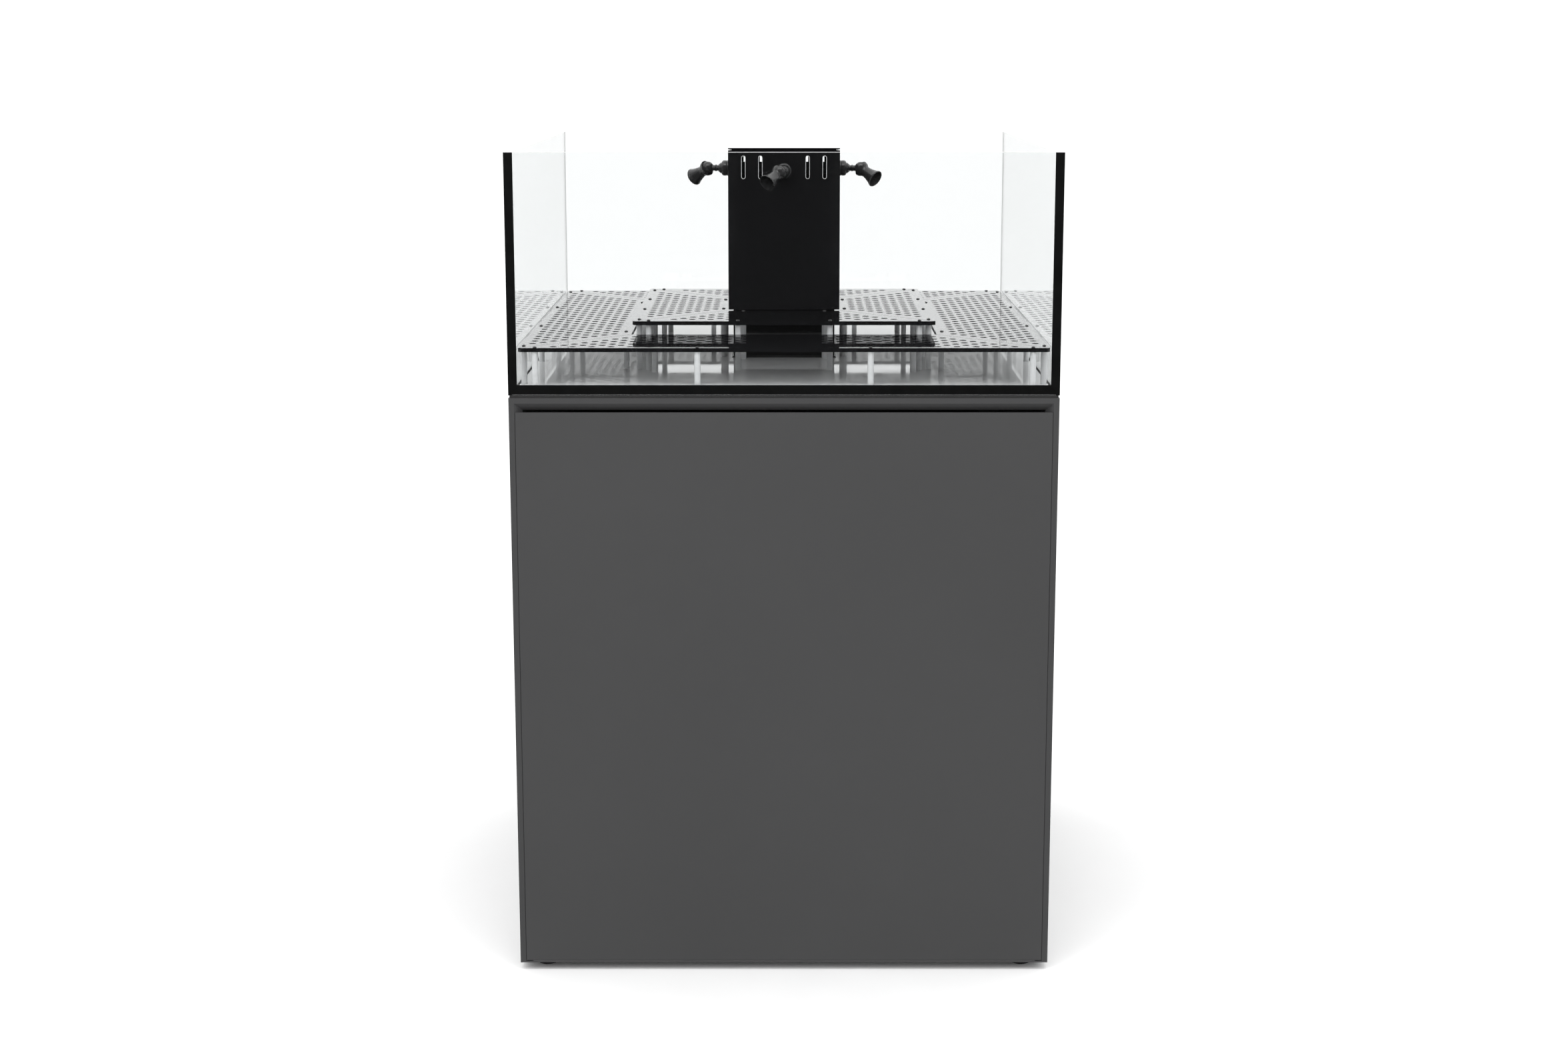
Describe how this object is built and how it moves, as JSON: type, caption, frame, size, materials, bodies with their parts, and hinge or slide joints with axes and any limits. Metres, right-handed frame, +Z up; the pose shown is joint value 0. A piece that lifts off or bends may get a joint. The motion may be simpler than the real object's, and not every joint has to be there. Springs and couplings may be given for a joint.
{
  "type": "aquarium on stand",
  "caption": "Rimless shallow glass aquarium with perforated coral racks round a central overflow tower, on a flush-door cabinet with a sump inside.",
  "frame": {"origin": "on the floor, under the middle of the stand", "axes": "+Z up, -Y towards the front with the door, +X to the right seen from the front"},
  "size_m": [0.8, 0.8, 1.234],
  "materials": {
    "cabinet_lacquer": "satin anthracite lacquer over board",
    "door_lacquer": "satin anthracite lacquer over board",
    "clear_glass": "low-iron polished glass",
    "silicone": "black silicone",
    "foam_mat": "fine closed-cell foam",
    "black_acrylic": "gloss black acrylic",
    "rack_legs": "grey acrylic rod",
    "nozzle_plastic": "satin black plastic",
    "grey_pvc": "grey pvc",
    "valve_handle": "red plastic",
    "steel": "nickel plated",
    "foot_plastic": "black plastic",
    "pump_plastic": "black plastic",
    "cup_plastic": "white plastic"
  },
  "bodies": {
    "stand_and_tank": {"side_panel_left": "cabinet_lacquer", "side_panel_right": "cabinet_lacquer", "top_panel": "cabinet_lacquer", "bottom_panel": "cabinet_lacquer", "back_panel": "cabinet_lacquer", "hinge_arms": "steel", "door_catch": "foot_plastic", "levelling_mat": "foam_mat", "tank_base_glass": "clear_glass", "tank_front_glass": "clear_glass", "tank_back_glass": "clear_glass", "tank_left_glass": "clear_glass", "tank_right_glass": "clear_glass", "silicone_seams": "silicone", "weir_box": "black_acrylic", "weir_cover": "black_acrylic", "nozzle_sockets": "nozzle_plastic", "bulkheads": "grey_pvc", "return_manifold": "grey_pvc", "standpipes": "grey_pvc", "down_pipes": "grey_pvc", "pipe_elbows": "grey_pvc", "valve_body": "grey_pvc", "sump_glass": "clear_glass", "cup_holder": "black_acrylic", "return_pump": "pump_plastic"},
    "door": {"door_panel": "door_lacquer", "hinge_cups": "steel", "door_strike": "steel"},
    "tower_lid": {"weir_lid": "black_acrylic"},
    "filter_cup": {"filter_cup": "cup_plastic"},
    "valve_lever": {"valve_handle": "valve_handle"},
    "foot_front_left": {"foot_front_left": "foot_plastic"},
    "foot_front_right": {"foot_front_right": "foot_plastic"},
    "foot_back_left": {"foot_back_left": "foot_plastic"},
    "foot_back_right": {"foot_back_right": "foot_plastic"},
    "lower_rack_front": {"lower_rack_front": "black_acrylic", "lower_rack_front_legs": "rack_legs"},
    "upper_rack_front": {"upper_rack_front": "black_acrylic", "upper_rack_front_legs": "rack_legs"},
    "nozzle_front_link": {"nozzle_front_link": "nozzle_plastic"},
    "nozzle_front_flare": {"nozzle_front_flare": "nozzle_plastic"},
    "lower_rack_right": {"lower_rack_right": "black_acrylic", "lower_rack_right_legs": "rack_legs"},
    "upper_rack_right": {"upper_rack_right": "black_acrylic", "upper_rack_right_legs": "rack_legs"},
    "nozzle_right_link": {"nozzle_right_link": "nozzle_plastic"},
    "nozzle_right_flare": {"nozzle_right_flare": "nozzle_plastic"},
    "lower_rack_back": {"lower_rack_back": "black_acrylic", "lower_rack_back_legs": "rack_legs"},
    "upper_rack_back": {"upper_rack_back": "black_acrylic", "upper_rack_back_legs": "rack_legs"},
    "nozzle_back_link": {"nozzle_back_link": "nozzle_plastic"},
    "nozzle_back_flare": {"nozzle_back_flare": "nozzle_plastic"},
    "lower_rack_left": {"lower_rack_left": "black_acrylic", "lower_rack_left_legs": "rack_legs"},
    "upper_rack_left": {"upper_rack_left": "black_acrylic", "upper_rack_left_legs": "rack_legs"},
    "nozzle_left_link": {"nozzle_left_link": "nozzle_plastic"},
    "nozzle_left_flare": {"nozzle_left_flare": "nozzle_plastic"}
  },
  "joints": [
    {"name": "door_swing", "type": "hinge", "parent": "stand_and_tank", "child": "door", "pos_m": [-0.3907, -0.4, 0.4372], "axis": [0, 0, -1], "range_deg": [0, 100]},
    {"name": "tower_lid_lift", "type": "slide", "parent": "stand_and_tank", "child": "tower_lid", "axis": [0, 0, 1], "range_m": [0, 0.1]},
    {"name": "filter_cup_lift", "type": "slide", "parent": "stand_and_tank", "child": "filter_cup", "axis": [0, 0, 1], "range_m": [0, 0.065]},
    {"name": "valve_turn", "type": "hinge", "parent": "stand_and_tank", "child": "valve_lever", "pos_m": [-0.19, -0.07, 0.531], "axis": [0, 1, 0], "range_deg": [0, 90]},
    {"name": "foot_front_left_turn", "type": "hinge", "parent": "stand_and_tank", "child": "foot_front_left", "pos_m": [-0.362, -0.362, 0.006], "axis": [0, 0, 1], "continuous": true},
    {"name": "foot_front_right_turn", "type": "hinge", "parent": "stand_and_tank", "child": "foot_front_right", "pos_m": [0.362, -0.362, 0.006], "axis": [0, 0, 1], "continuous": true},
    {"name": "foot_back_left_turn", "type": "hinge", "parent": "stand_and_tank", "child": "foot_back_left", "pos_m": [-0.362, 0.362, 0.006], "axis": [0, 0, 1], "continuous": true},
    {"name": "foot_back_right_turn", "type": "hinge", "parent": "stand_and_tank", "child": "foot_back_right", "pos_m": [0.362, 0.362, 0.006], "axis": [0, 0, 1], "continuous": true},
    {"name": "lower_rack_front_lift", "type": "slide", "parent": "stand_and_tank", "child": "lower_rack_front", "axis": [0, 0, 1], "range_m": [0, 0.35]},
    {"name": "upper_rack_front_lift", "type": "slide", "parent": "stand_and_tank", "child": "upper_rack_front", "axis": [0, 0, 1], "range_m": [0, 0.15]},
    {"name": "lower_rack_right_lift", "type": "slide", "parent": "stand_and_tank", "child": "lower_rack_right", "axis": [0, 0, 1], "range_m": [0, 0.35]},
    {"name": "upper_rack_right_lift", "type": "slide", "parent": "stand_and_tank", "child": "upper_rack_right", "axis": [0, 0, 1], "range_m": [0, 0.15]},
    {"name": "lower_rack_back_lift", "type": "slide", "parent": "stand_and_tank", "child": "lower_rack_back", "axis": [0, 0, 1], "range_m": [0, 0.35]},
    {"name": "upper_rack_back_lift", "type": "slide", "parent": "stand_and_tank", "child": "upper_rack_back", "axis": [0, 0, 1], "range_m": [0, 0.15]},
    {"name": "lower_rack_left_lift", "type": "slide", "parent": "stand_and_tank", "child": "lower_rack_left", "axis": [0, 0, 1], "range_m": [0, 0.35]},
    {"name": "upper_rack_left_lift", "type": "slide", "parent": "stand_and_tank", "child": "upper_rack_left", "axis": [0, 0, 1], "range_m": [0, 0.15]},
    {"name": "nozzle_front_yaw", "type": "hinge", "parent": "stand_and_tank", "child": "nozzle_front_link", "pos_m": [0, -0.0975, 1.191], "axis": [0, 0, 1], "range_deg": [-20, 20]},
    {"name": "nozzle_front_pitch", "type": "hinge", "parent": "nozzle_front_link", "child": "nozzle_front_flare", "pos_m": [-0.00673, -0.12261, 1.191], "axis": [0.766, -0.6428, 0], "range_deg": [-20, 20]},
    {"name": "nozzle_right_yaw", "type": "hinge", "parent": "stand_and_tank", "child": "nozzle_right_link", "pos_m": [0.0975, 0, 1.191], "axis": [0, 0, 1], "range_deg": [-20, 20]},
    {"name": "nozzle_right_pitch", "type": "hinge", "parent": "nozzle_right_link", "child": "nozzle_right_flare", "pos_m": [0.12261, -0.00673, 1.191], "axis": [0.6428, 0.766, 0], "range_deg": [-20, 20]},
    {"name": "nozzle_back_yaw", "type": "hinge", "parent": "stand_and_tank", "child": "nozzle_back_link", "pos_m": [0, 0.0975, 1.191], "axis": [0, 0, 1], "range_deg": [-20, 20]},
    {"name": "nozzle_back_pitch", "type": "hinge", "parent": "nozzle_back_link", "child": "nozzle_back_flare", "pos_m": [0.00673, 0.12261, 1.191], "axis": [-0.766, 0.6428, 0], "range_deg": [-20, 20]},
    {"name": "nozzle_left_yaw", "type": "hinge", "parent": "stand_and_tank", "child": "nozzle_left_link", "pos_m": [-0.0975, 0, 1.191], "axis": [0, 0, 1], "range_deg": [-20, 20]},
    {"name": "nozzle_left_pitch", "type": "hinge", "parent": "nozzle_left_link", "child": "nozzle_left_flare", "pos_m": [-0.12261, 0.00673, 1.191], "axis": [-0.6428, -0.766, 0], "range_deg": [-20, 20]}
  ]
}
